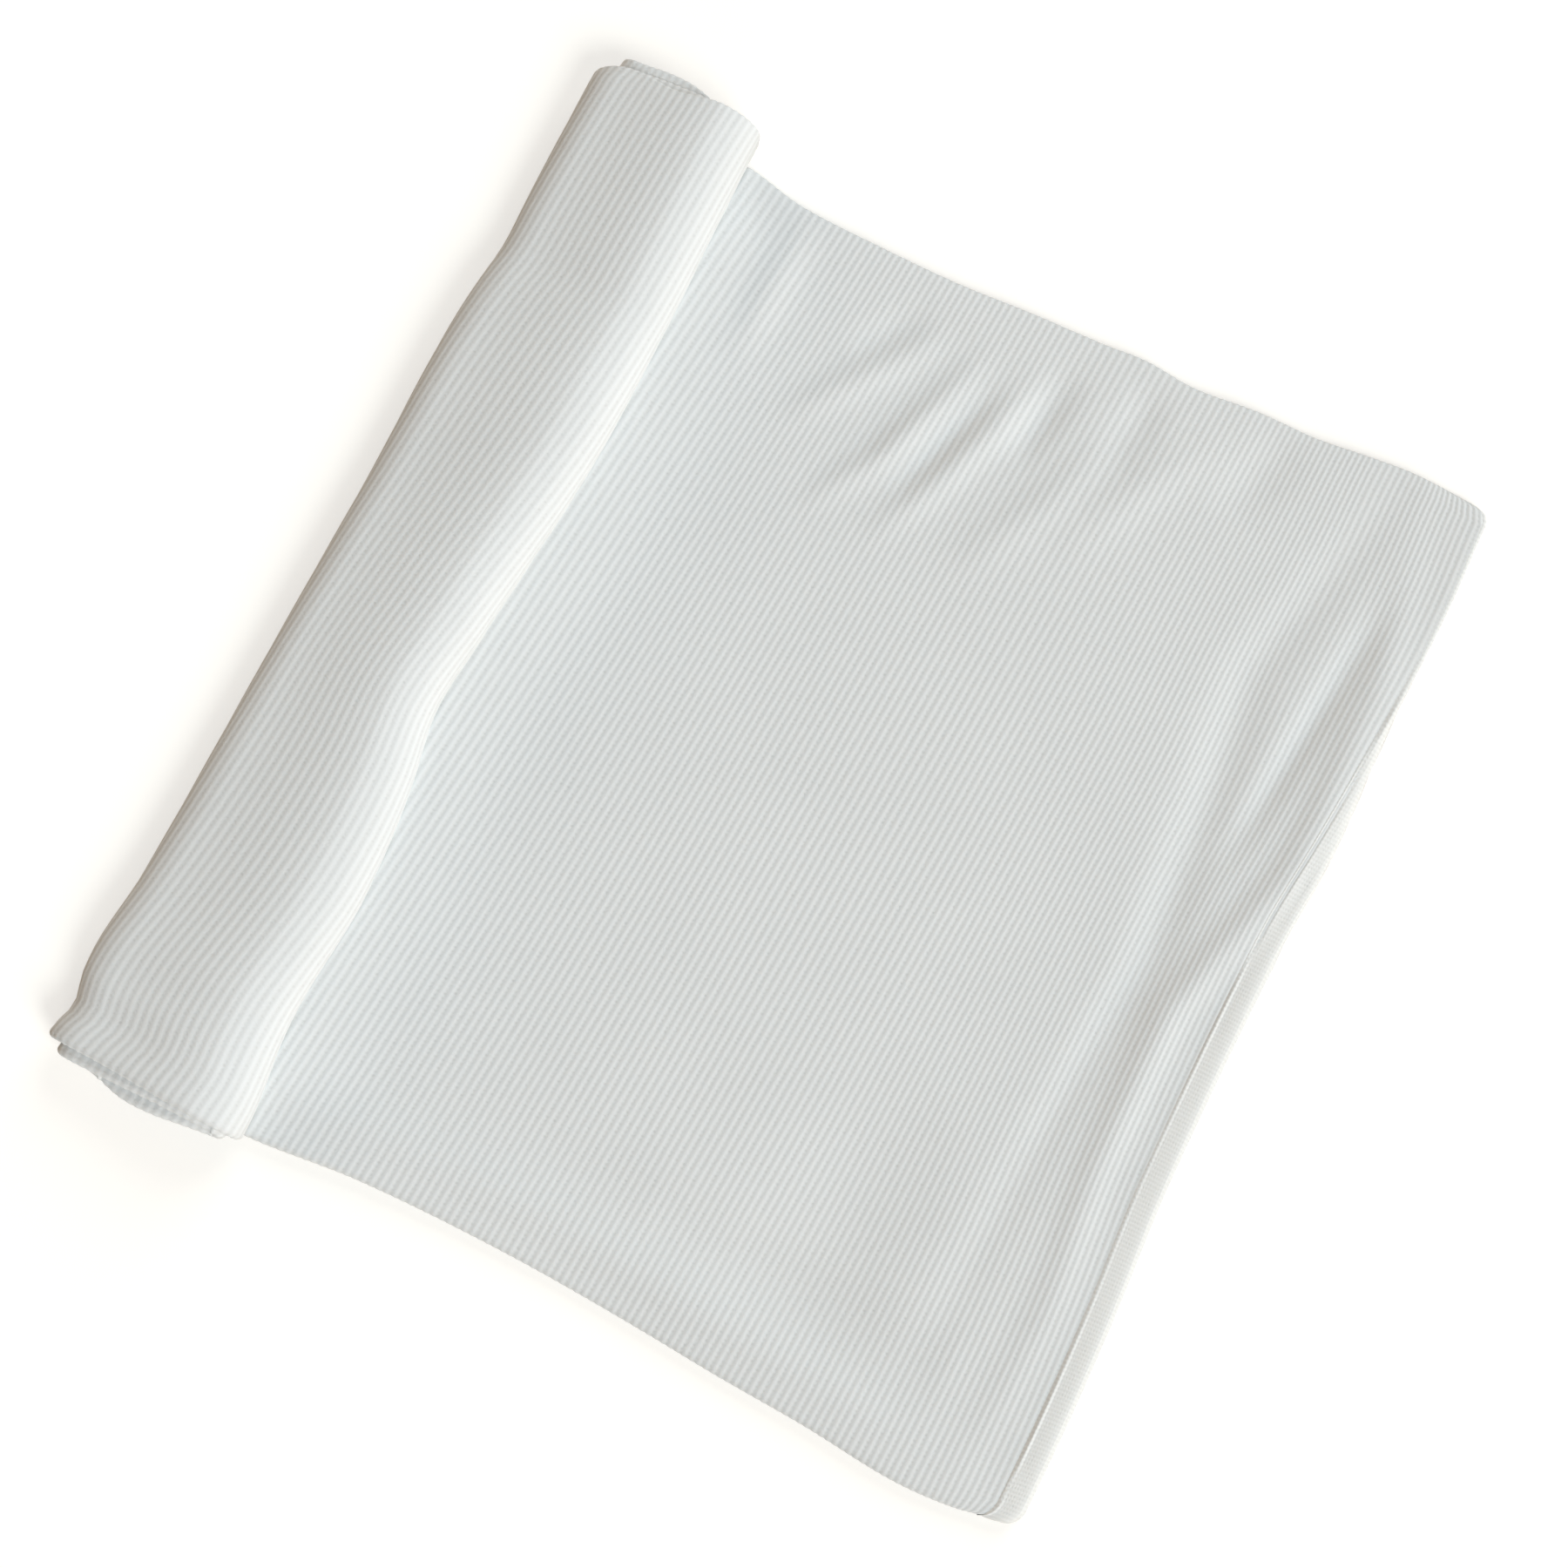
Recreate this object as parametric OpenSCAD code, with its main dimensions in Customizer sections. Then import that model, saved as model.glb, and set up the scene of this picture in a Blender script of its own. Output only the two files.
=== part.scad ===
// Rib-knit baby wrap cloth, folded to a strip and part rolled.
//
// One rectangular cloth with a bound edge all round is folded in half, with a plain
// fold at the front.  At the back both halves are turned in between the layers, so
// the two side bindings lie hidden inside.  The strip lies flat from its free end
// (+X) and is rolled up at the other end (-X) into a flat roll that lies on it.
// The roll unrolls half a turn over the crease at its left side, which flattens
// at two bends, one at each end of the crease.
//
// X runs along the strip, Y along the roll and Z up.  The origin is the middle of
// the underside.  Units are millimetres.

/* [Strip] */
// Length of the folded and part-rolled bundle, from roll to free end
bundle_len = 480; // [420:10:560]
// Folded width of the flat part, front to back
flat_w = 508; // [460:2:540]
// Thickness of one layer of the knit
cloth_t = 1.3; // [1.1:0.05:1.3]
// Thickness of the folded strip, with the air between its layers
strip_t = 5.5; // [5.5:0.1:6.5]
// Depth of the turned-in back hem of the upper layer
turn_in = 34; // [24:1:44]

/* [Roll] */
// Distance between the centres of the left and right curls
roll_span = 64; // [64:2:84]
// Air between neighbouring turns
turn_gap = 0.4; // [0.2:0.1:1]
// Front edges of the outer, middle and core turns, from the middle of the roll
turn_front = [254, 260, 264]; // [240:1:280]
// Back edges of the outer, middle and core turns, from the middle of the roll
turn_back = [264, 262, 257]; // [240:1:280]
// Length of the last, innermost run of cloth
core_run = 52; // [30:2:52]

/* [Binding] */
// Width of the binding along every edge
binding_w = 12; // [8:1:13]
// Thickness of a bound edge: binding, cloth and binding
binding_t = 2.6; // [2.3:0.1:2.7]
// Thickness of the cloth where the binding squeezes it
tongue_t = 0.6; // [0.4:0.05:0.6]
// Diameter of the sewing thread lines
thread_d = 0.5; // [0.3:0.05:0.5]

/* [Label] */
// Length of the care label, inward from the free end's binding
label_len = 36; // [24:2:60]
// Width of the care label, along the free end
label_w = 28; // [16:2:40]
// Thickness of the care label
label_t = 0.4; // [0.3:0.1:0.6]
// Place of the care label's front edge along the free end, from the middle
label_y = 80; // [-150:10:130]

/* [Hidden] */
$fn = 96;
thread_fn = 24;                 // facets of the thin sewing threads
fit_gap = 0.05;                 // air between pieces that touch
slit = 0.1;                     // air between layers that lie on each other
hinge_gap = 0.2;                // opening on each side of the crease
reach = 1;                      // how far cutters and tongues run past the face they start from
crease_turn = 90;               // part of the outer curl that is the crease, in degrees
slot_wall = 3;                  // solid part of a binding, between the cloth's edge and the outside
slot_depth = binding_w - slot_wall;           // how far the cloth reaches into its binding
thread_rows = [1.2, 3.8];       // distances of the two thread lines from the binding's inner edge
hem_step = 4;                   // distance between the two side bindings, which lie side by side
label_inset = 2;                // distance of the care label from the free end's binding

pitch_z = strip_t + turn_gap;   // height of one turn in the stack
stack = 5;                      // layers of strip under the roll's top, with the flat part
outer_r = (stack * strip_t + (stack - 1) * turn_gap) / 2;   // outer curl, flat part to top run
curl_r = [for (k = [0:3]) outer_r - k * pitch_z / 2];
left_x = -bundle_len / 2 + outer_r;
right_x = left_x + roll_span;
left_z = outer_r;
right_z = outer_r + pitch_z / 2;
free_x = bundle_len / 2 - binding_w;          // where the cloth meets the free end's binding
core_x = right_x - core_run;                  // where the cloth meets the core end's binding
core_z = 2 * pitch_z;                         // underside of the innermost run

flat_front = flat_w / 2;
flat_back = flat_w / 2;
upper_hem_end = turn_in;                      // the upper side binding starts here, from the back edge
lower_hem_end = turn_in + binding_w + hem_step;   // and the lower one here, beside it
mid_n = strip_t / 2;
upper_n = strip_t - binding_t / 2;            // middles of the two layers' end bindings
lower_n = binding_t / 2;
end_inset = 3;                                // the end bindings' straight parts stop short by this
tongue_heights = [strip_t - cloth_t + tongue_t / 2, cloth_t - tongue_t / 2];
lower_thread_n = thread_d / 2;
free_thread_heights = [strip_t, lower_thread_n];
core_thread_heights = [strip_t - lower_thread_n, lower_thread_n];

cloth_colour = [0.87, 0.88, 0.87];
binding_colour = [0.91, 0.91, 0.90];
thread_colour = [0.95, 0.95, 0.94];
label_colour = [0.97, 0.97, 0.96];

// ---- Sections: the first axis runs front to back, the second through the strip ----
// The second axis is 0 at the face of the strip that ends up outside in the roll.

module slab(y0, y1, n0, n1) {
    translate([y0, n0]) square([y1 - y0, n1 - n0]);
}

// Half a ring: a layer turning back over itself at a fold. side is 1 at the back, -1 at the front.
module fold(y, n, r_out, r_in, side) {
    intersection() {
        translate([y, n]) difference() {
            circle(r = r_out);
            circle(r = r_in);
        }
        translate([side > 0 ? y : y - 2 * r_out, n - r_out]) square(2 * r_out);
    }
}

// The folded cloth: two layers, a plain fold at the front and two turned-in hems at the back.
module cloth_section(front, back) {
    hem_r = cloth_t + slit / 2;
    y0 = -front + mid_n;
    y1 = back - hem_r;
    slab(y0, y1, 0, cloth_t);
    slab(y0, y1, strip_t - cloth_t, strip_t);
    fold(y0, mid_n, mid_n, mid_n - cloth_t, -1);
    fold(y1, hem_r, hem_r, slit / 2, 1);
    fold(y1, strip_t - hem_r, hem_r, slit / 2, 1);
    slab(back - lower_hem_end + fit_gap, y1, cloth_t + slit, 2 * cloth_t + slit);
    slab(back - upper_hem_end + fit_gap, y1, strip_t - 2 * cloth_t - slit, strip_t - cloth_t - slit);
}

// Threads of one side binding, or the grooves that hold them.
module side_thread_section(back, start, d) {
    for (row = thread_rows)
        translate([back - start - row, mid_n + binding_t / 2 - thread_d / 2])
            circle(d = d, $fn = thread_fn);
}

module side_binding_section(back, start) {
    difference() {
        slab(back - start - binding_w, back - start, mid_n - binding_t / 2, mid_n + binding_t / 2);
        side_thread_section(back, start, thread_d + fit_gap);
        translate([0, thread_d / 2]) side_thread_section(back, start, thread_d + fit_gap);
    }
}

// The upper hem's binding sits over the lower hem, so its lower half clears that hem.
module upper_side_binding_section(back) {
    difference() {
        side_binding_section(back, upper_hem_end);
        slab(back - lower_hem_end, back, 0, 2 * cloth_t + slit + fit_gap);
    }
}

module side_stitching_section(back) {
    for (start = [upper_hem_end, lower_hem_end]) side_thread_section(back, start, thread_d);
}

// ---- Sweeps: carry a section along one run or curl of the strip ----

// A run from x0 to x1 with the outside of the roll below.
module run_up(x0, x1, z) {
    translate([x0, 0, z]) rotate([90, 0, 90]) linear_extrude(x1 - x0) children();
}

// A run from x0 to x1 with the outside of the roll above, at height z.
module run_down(x0, x1, z) {
    translate([x0, 0, z]) mirror([0, 0, 1]) rotate([90, 0, 90]) linear_extrude(x1 - x0) children();
}

// A curl of the strip about a line along Y. from is 90 at the bottom, 180 at the left and 270 at the top.
module curl(x, z, r, from, turn) {
    translate([x, 0, z]) rotate([-90, 0, 0]) rotate([0, 0, from])
        rotate_extrude(angle = turn) translate([r, 0]) rotate(90) children();
}

// Keeps what lies on one side of the line that leaves the left curl's centre at an angle,
// a half gap away from it. side is -1 before that line and 1 after it.
module cut_curl(angle, side) {
    intersection() {
        children();
        translate([left_x, 0, left_z]) rotate([0, angle, 0])
            translate([0, -bundle_len, side < 0 ? hinge_gap / 2 : -2 * bundle_len - hinge_gap / 2])
                cube(2 * bundle_len);
    }
}

module flat_sweep() {
    run_up(left_x, free_x - fit_gap, 0) children();
    cut_curl(180 - crease_turn / 2, -1) curl(left_x, left_z, curl_r[0], 90, 90) children();
}

module crease_sweep() {
    cut_curl(180 - crease_turn / 2, 1) cut_curl(180 + crease_turn / 2, -1)
        curl(left_x, left_z, curl_r[0], 90, 180) children();
}

module outer_sweep() {
    cut_curl(180 + crease_turn / 2, 1) curl(left_x, left_z, curl_r[0], 180, 90) children();
    run_down(left_x, right_x, 2 * outer_r) children();
    curl(right_x, right_z, curl_r[1], -90, 180) children();
}

module middle_sweep() {
    run_up(left_x, right_x - fit_gap, pitch_z) children();
    curl(left_x, left_z, curl_r[2], 90, 180) children();
    run_down(left_x, right_x - fit_gap, 2 * outer_r - pitch_z) children();
}

module core_sweep() {
    curl(right_x, right_z, curl_r[3], -90, 180) children();
    run_up(core_x + fit_gap, right_x, core_z) children();
}

// ---- Bound ends, built at the free end and mirrored for the core end ----

// The compressed edge of one layer, inside its binding, with its middle at height n.
module tongue(front, back, n) {
    translate([-reach, -front + end_inset, n - tongue_t / 2])
        cube([slot_depth, front + back - 2 * end_inset, tongue_t]);
}

module end_threads(front, back, n, d) {
    for (row = thread_rows)
        translate([row, -front + end_inset, n]) rotate([-90, 0, 0])
            cylinder(d = d, h = front + back - 2 * end_inset, $fn = thread_fn);
}

// One layer's binding: a strip folded round the cloth's edge. n is its middle, n_tongue the middle of
// the cloth's edge inside it and n_thread the middle of the grooves that hold its threads.
module end_binding_layer(front, back, n, n_tongue, n_thread) {
    length = front + back - 2 * end_inset;
    difference() {
        union() {
            translate([0, -front + end_inset, n - binding_t / 2])
                cube([binding_w - binding_t / 2, length, binding_t]);
            translate([binding_w - binding_t / 2, -front + end_inset, n]) rotate([-90, 0, 0])
                cylinder(d = binding_t, h = length);
        }
        translate([-reach, -front, n_tongue - tongue_t / 2 - fit_gap])
            cube([slot_depth + reach, front + back, tongue_t + 2 * fit_gap]);
        end_threads(front + reach, back + reach, n_thread, thread_d + 2 * fit_gap);
    }
}

// Both layers' binding, one strip that turns round the cloth's plain front fold.
module end_binding(front, back, thread_heights) {
    end_binding_layer(front, back, upper_n, tongue_heights[0], thread_heights[0]);
    end_binding_layer(front, back, lower_n, tongue_heights[1], thread_heights[1]);
    rotate([90, 0, 90]) linear_extrude(binding_w - binding_t / 2)
        fold(-front + end_inset, mid_n, mid_n, mid_n - binding_t, -1);
}

// ---- Nodes ----

module flat_cloth() {
    color(cloth_colour) {
        flat_sweep() cloth_section(flat_front, flat_back);
        translate([free_x - fit_gap, 0, 0])
            for (n = tongue_heights) tongue(flat_front, flat_back, n);
    }
}

module free_end_binding() {
    color(binding_colour) translate([free_x, 0, 0])
        end_binding(flat_front, flat_back, free_thread_heights);
}

module free_end_stitching() {
    color(thread_colour) translate([free_x, 0, 0])
        for (n = free_thread_heights) end_threads(flat_front, flat_back, n, thread_d);
}

module flat_side_binding_upper() {
    color(binding_colour) flat_sweep() upper_side_binding_section(flat_back);
}

module flat_side_binding_lower() {
    color(binding_colour) flat_sweep() side_binding_section(flat_back, lower_hem_end);
}

module flat_side_stitching() {
    color(thread_colour) flat_sweep() side_stitching_section(flat_back);
}

module care_label() {
    color(label_colour) translate([free_x - label_inset - label_len, label_y, cloth_t + fit_gap])
        cube([label_len, label_w, label_t]);
}

module crease_cloth() {
    color(cloth_colour) crease_sweep() cloth_section(flat_front, flat_back);
}

module crease_side_bindings() {
    color(binding_colour) {
        crease_sweep() upper_side_binding_section(flat_back);
        crease_sweep() side_binding_section(flat_back, lower_hem_end);
    }
}

module crease_side_stitching() {
    color(thread_colour) crease_sweep() side_stitching_section(flat_back);
}

module outer_turn() {
    color(cloth_colour) outer_sweep() cloth_section(turn_front[0], turn_back[0]);
}

module middle_turn() {
    color(cloth_colour) middle_sweep() cloth_section(turn_front[1], turn_back[1]);
}

module core_turn() {
    color(cloth_colour) {
        core_sweep() cloth_section(turn_front[2], turn_back[2]);
        translate([core_x + fit_gap, 0, core_z]) mirror([1, 0, 0])
            for (n = tongue_heights) tongue(turn_front[2], turn_back[2], n);
    }
}

module rolled_side_bindings() {
    color(binding_colour) {
        outer_sweep() upper_side_binding_section(turn_back[0]);
        outer_sweep() side_binding_section(turn_back[0], lower_hem_end);
        middle_sweep() upper_side_binding_section(turn_back[1]);
        middle_sweep() side_binding_section(turn_back[1], lower_hem_end);
        core_sweep() upper_side_binding_section(turn_back[2]);
        core_sweep() side_binding_section(turn_back[2], lower_hem_end);
    }
}

module rolled_side_stitching() {
    color(thread_colour) {
        outer_sweep() side_stitching_section(turn_back[0]);
        middle_sweep() side_stitching_section(turn_back[1]);
        core_sweep() side_stitching_section(turn_back[2]);
    }
}

module core_end_binding() {
    color(binding_colour) translate([core_x, 0, core_z]) mirror([1, 0, 0])
        end_binding(turn_front[2], turn_back[2], core_thread_heights);
}

module core_end_stitching() {
    color(thread_colour) translate([core_x, 0, core_z]) mirror([1, 0, 0])
        for (n = core_thread_heights) end_threads(turn_front[2], turn_back[2], n, thread_d);
}

flat_cloth();
free_end_binding();
free_end_stitching();
flat_side_binding_upper();
flat_side_binding_lower();
flat_side_stitching();
care_label();
crease_cloth();
crease_side_bindings();
crease_side_stitching();
outer_turn();
middle_turn();
core_turn();
rolled_side_bindings();
rolled_side_stitching();
core_end_binding();
core_end_stitching();
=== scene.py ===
"""A rib-knit baby wrap cloth, folded to a strip and part rolled, laid on a pale floor.

The cloth is one folded strip that runs from its free end (+X) to the roll (-X), turns up
over the roll's left side and winds on into the roll's core.  Every piece is swept along
that one winding path, and one soft field of small moves then gives it the slack, creases
and uneven edges of real cloth.  Lengths are in millimetres until a mesh is made.
"""

import math

import bpy
import numpy as np
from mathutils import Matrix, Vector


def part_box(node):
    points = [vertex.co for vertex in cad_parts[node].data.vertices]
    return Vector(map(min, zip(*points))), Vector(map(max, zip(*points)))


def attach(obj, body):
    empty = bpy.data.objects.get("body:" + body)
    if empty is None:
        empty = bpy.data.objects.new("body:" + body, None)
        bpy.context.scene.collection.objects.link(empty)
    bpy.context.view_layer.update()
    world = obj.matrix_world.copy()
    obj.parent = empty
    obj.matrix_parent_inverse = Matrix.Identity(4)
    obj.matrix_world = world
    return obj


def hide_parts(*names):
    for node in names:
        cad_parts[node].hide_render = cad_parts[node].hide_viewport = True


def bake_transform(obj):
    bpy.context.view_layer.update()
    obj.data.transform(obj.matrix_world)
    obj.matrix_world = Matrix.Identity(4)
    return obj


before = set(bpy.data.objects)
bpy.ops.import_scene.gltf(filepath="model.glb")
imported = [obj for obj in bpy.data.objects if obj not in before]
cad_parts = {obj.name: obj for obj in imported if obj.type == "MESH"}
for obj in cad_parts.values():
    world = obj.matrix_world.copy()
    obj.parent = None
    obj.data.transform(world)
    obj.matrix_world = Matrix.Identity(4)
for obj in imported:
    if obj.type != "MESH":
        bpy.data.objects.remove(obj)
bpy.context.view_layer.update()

MM = 0.001


# ---- Sizes, read from the frame ----

def corners(node):
    """Lowest and highest corner of a CAD node, in millimetres."""
    low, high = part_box(node)
    return np.array(low) / MM, np.array(high) / MM


END_LOW, END_HIGH = corners("free_end_binding")
FLAT_LOW, FLAT_HIGH = corners("flat_cloth")
CREASE_LOW = corners("crease_cloth")[0]
OUTER_HIGH = corners("outer_turn")[1]
CORE_END_LOW = corners("core_end_binding")[0]
LABEL_LOW, LABEL_HIGH = corners("care_label")

HALF_TURNS = 4                  # curls of the strip in the roll
STRIP_T = END_HIGH[2] - END_LOW[2]
ROLL_H = OUTER_HIGH[2]
OUTER_R = ROLL_H / 2
PITCH = (ROLL_H - STRIP_T) / HALF_TURNS
LEFT_X = CREASE_LOW[0] + OUTER_R
RIGHT_X = OUTER_HIGH[0] - (OUTER_R - PITCH / 2)
END_X = END_HIGH[0]
SEAM_S = END_HIGH[0] - END_LOW[0]   # the binding's width, and so where its inner edge lies
CORE_X = CORE_END_LOW[0]
FRONT = -FLAT_LOW[1]
BACK = FLAT_HIGH[1]
FOLD_R = STRIP_T / 2            # outer radius of the plain front fold
HEM_R = 1.35                    # outer radius of a turned-in hem's fold
HEM_FLAP = 6                    # how far in from the back edge a hem is drawn

# The winding path: lengths of its runs and curls, from the free end to the core
CURL_R = [OUTER_R - k * PITCH / 2 for k in range(HALF_TURNS)]
SPAN = RIGHT_X - LEFT_X
LENGTHS = [END_X - LEFT_X, math.pi * CURL_R[0], SPAN, math.pi * CURL_R[1], SPAN,
           math.pi * CURL_R[2], SPAN, math.pi * CURL_R[3], RIGHT_X - CORE_X]
STATION = np.concatenate([[0], np.cumsum(LENGTHS)])
CREASE_S = STATION[1] + LENGTHS[1] / 2      # the roll's outermost left line
PATH_END = STATION[-1]

# The knit
RIB_PITCH_END = 3.3             # at the free end
RIB_PITCH_ROLL = 4.05           # the widest, along the roll
RIB_PITCH_STEP = 0.007          # how much wider each rib is than the one before
RIB_COLUMNS = 4                 # mesh columns in a rib
RIB_BEFORE = 20                 # the ribs are counted from this far before the free end
RIB_SPARE = 80                  # length of cloth past a sheet's far end for which ribs are counted
RIB_MARGIN = 70                 # ribs kept past both ends of a sheet, because they lean
RIB_HEIGHT = 0.29
RIB_SHARPNESS = 1.5             # above 1 the valleys between the ribs are narrower than the ribs
COURSE_PITCH = 2.2
RIB_ACROSS = 2.0                # rib pitch of the cross-cut binding
BAND_COURSE = 1.3               # course pitch of the binding
STITCH_PITCH = 2.6
STITCH_DEPTH = 0.25             # dip of the seam line between two stitches
SEAM_W = 1.2                    # the seam line starts this far before the binding's inner edge
THREAD_ROWS = (1.2, 3.8)        # distances of the two thread lines from a binding's inner edge
THREAD_HALF_W = 0.25
THREAD_HALF_H = 0.2
THREAD_RIPPLE = 0.5             # how much a thread swells and thins with its stitches
BINDING_GAP = 3                 # the side bindings stop this far from the end bindings
ROD_SQUARENESS = 0.35           # a rod's outline: 1 is an ellipse and 0 a box
TUCK = 15                       # how much of the free end is tucked under at the back
TUCK_RUN = 60                   # how far in from the free end the tuck is felt


# ---- Small tools ----

def smooth(t):
    """0 below 0, 1 above 1 and a soft step between."""
    t = np.clip(t, 0, 1)
    return t * t * (3 - 2 * t)


def curve(at, *knots):
    """A smooth curve through (place, value) knots, level beyond the ends."""
    place = np.array([k[0] for k in knots], float)
    value = np.array([k[1] for k in knots], float)
    slope = np.gradient(value, place)
    slope[0] = slope[-1] = 0
    k = np.clip(np.searchsorted(place, at) - 1, 0, len(place) - 2)
    gap = place[k + 1] - place[k]
    t = np.clip((at - place[k]) / gap, 0, 1)
    return ((2 * t**3 - 3 * t**2 + 1) * value[k] + (t**3 - 2 * t**2 + t) * gap * slope[k]
            + (3 * t**2 - 2 * t**3) * value[k + 1] + (t**3 - t**2) * gap * slope[k + 1])


def crease(x, y, points, width, height):
    """A soft ridge of one height along a line of points, fading out at both ends."""
    points = np.array(points, float)
    best = np.full(np.shape(x), 1e9)
    ease = np.zeros(np.shape(x))
    legs = np.hypot(*np.diff(points, axis=0).T)
    total = legs.sum()
    before = 0
    for (x0, y0), (x1, y1), leg in zip(points[:-1], points[1:], legs):
        t = np.clip(((x - x0) * (x1 - x0) + (y - y0) * (y1 - y0)) / leg**2, 0, 1)
        away = np.hypot(x - x0 - t * (x1 - x0), y - y0 - t * (y1 - y0))
        run = (before + t * leg) / total
        nearer = away < best
        best = np.where(nearer, away, best)
        ease = np.where(nearer, np.clip(np.sin(math.pi * np.clip(run, 0.02, 0.98)), 0, 1), ease)
        before += leg
    return height * np.exp(-((best / width) ** 2)) * ease ** 0.8


# ---- The winding path and the soft field ----

def on_path(s, n):
    """X and Z at distance s along the path and n in from the face that winds outermost."""
    s, n = np.broadcast_arrays(np.asarray(s, float), np.asarray(n, float))
    x = END_X - s
    z = n.copy()
    for k in range(1, len(LENGTHS)):
        inside = s > STATION[k]
        along = s - STATION[k]
        if k % 2:
            r = CURL_R[(k - 1) // 2]
            left = k in (1, 5)
            centre_x = LEFT_X if left else RIGHT_X
            centre_z = OUTER_R if left else OUTER_R + PITCH / 2
            side = -1 if left else 1
            new_x = centre_x + side * (r - n) * np.sin(along / r)
            new_z = centre_z + side * (r - n) * np.cos(along / r)
        elif k in (2, 6):
            new_x = LEFT_X + along
            new_z = ROLL_H - PITCH * (k == 6) - n
        else:
            new_x = RIGHT_X - along
            new_z = PITCH * (k // 4) + n
        x = np.where(inside, new_x, x)
        z = np.where(inside, new_z, z)
    return x, z


# Ridges and valleys of the flat part, each a line of points, a width and a height
CREASES = [
    # creases that fan out from the back edge
    ([(-80, 156), (-58, 186), (-28, 228)], 8, 1.8),
    ([(-54, 120), (-30, 158), (-6, 226)], 7, 2.0),
    ([(-20, 118), (2, 164), (20, 222)], 8, 1.7),
    ([(22, 124), (48, 168), (66, 216)], 11, 1.5),
    ([(60, 150), (86, 200), (112, 238)], 12, 1.5),
    ([(-66, 204), (-37, 234)], 9, -1.7),
    ([(-18, 140), (7, 218)], 6, -1.2),
    ([(26, 180), (33, 236)], 9, -2.0),
    ([(64, 196), (74, 244)], 10, -1.6),
    ([(122, 200), (144, 250)], 14, -1.4),
    ([(-112, 170), (-110, 250)], 9, 1.4),
    # long slack beside the free end
    ([(202, 262), (171, 141), (188, 1), (178, -98), (168, -225)], 12, -2.0),
    ([(214, 196), (209, 150), (203, 108), (196, 50)], 7, -1.8),
    ([(206, 250), (228, 157), (226, 64), (207, -15), (207, -95), (212, -159), (206, -235)], 9, 2.0),
    # the front fold's puffed edge and the hollow beside it
    ([(-190, -233), (30, -231), (232, -235)], 10, 2.6),
    ([(-150, -207), (20, -206), (190, -205)], 14, -1.2),
    ([(30, -206), (110, -204), (185, -198)], 17, -1.5),
    ([(116, -236), (112, -180), (128, -90)], 38, -2.3),
]
CREASE_GAIN = 1.25              # the creases are drawn this much higher, because settling lowers them


def sculpted_creases(x, y):
    """Height of the flat part's creases and slack over its nominal top, as drawn."""
    height = 0.35 * np.sin(x / 61 + y / 93) + 0.3 * np.sin(x / 37 - y / 71 + 1.3)
    for points, width, rise in CREASES:
        height += crease(x, y, points, width, rise)
    return CREASE_GAIN * height


# The coarse sheet on which the creases settle
CELL = 8.0
SHEET_X = np.arange(-148, 233, CELL)
SHEET_Y = np.arange(-248, 249, CELL)
SHEET_SCALE = 10                # the solver is steadier on a sheet ten times life size
SHEET_FRAMES = 18
TABLE_DROP = 0.6                # how far below the nominal top the sheet comes to rest
TABLE_CLEAR = 0.15              # the sheet starts at least this far above the table
TABLE_HALF = 400
SETTLE_CAP = 0.9                # the settling levels off at this much
SETTLE_END = 236                # the settling has faded out here, towards the free end
SETTLE_FADE = 20


def settled_sheet():
    """Height changes of the flat part's upper layer after a short cloth simulation.

    The sheet starts on the drawn creases, held at its rim, and sinks onto a table under it.
    """
    grid_x, grid_y = np.meshgrid(SHEET_X, SHEET_Y, indexing="ij")
    start = np.maximum(sculpted_creases(grid_x, grid_y), TABLE_CLEAR - TABLE_DROP)
    points = np.stack([grid_x, grid_y, start], axis=-1).reshape(-1, 3) * SHEET_SCALE
    sheet = make_mesh("settling_sheet", points, grid_faces(*grid_x.shape))
    rim = np.ones(grid_x.shape, bool)
    rim[1:-1, 1:-1] = False
    held = sheet.vertex_groups.new(name="rim")
    held.add([int(i) for i in np.flatnonzero(rim.ravel())], 1.0, "REPLACE")
    cloth = sheet.modifiers.new("cloth", "CLOTH")
    cloth.settings.vertex_group_mass = "rim"
    cloth.settings.quality = 6
    cloth.settings.mass = 0.15
    cloth.settings.tension_stiffness = 20
    cloth.settings.compression_stiffness = 20
    cloth.settings.shear_stiffness = 10
    cloth.settings.bending_stiffness = 0.5
    cloth.collision_settings.distance_min = 0.001
    cloth.point_cache.frame_start = 1
    cloth.point_cache.frame_end = SHEET_FRAMES
    table = square_plate("settling_table", TABLE_HALF * SHEET_SCALE, -TABLE_DROP * SHEET_SCALE)
    table.modifiers.new("table", "COLLISION")
    table.collision.thickness_outer = 0.001
    scene = bpy.context.scene
    for step in range(1, SHEET_FRAMES + 1):
        scene.frame_set(step)
    settled = sheet.evaluated_get(bpy.context.evaluated_depsgraph_get()).data
    heights = np.empty(len(settled.vertices) * 3, np.float32)
    settled.vertices.foreach_get("co", heights)
    heights = heights.reshape(-1, 3)[:, 2].reshape(grid_x.shape) / MM / SHEET_SCALE
    for helper in (sheet, table):
        bpy.data.objects.remove(helper, do_unlink=True)
    scene.frame_set(1)
    return SETTLE_CAP * np.tanh((heights - start) / SETTLE_CAP)


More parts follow.
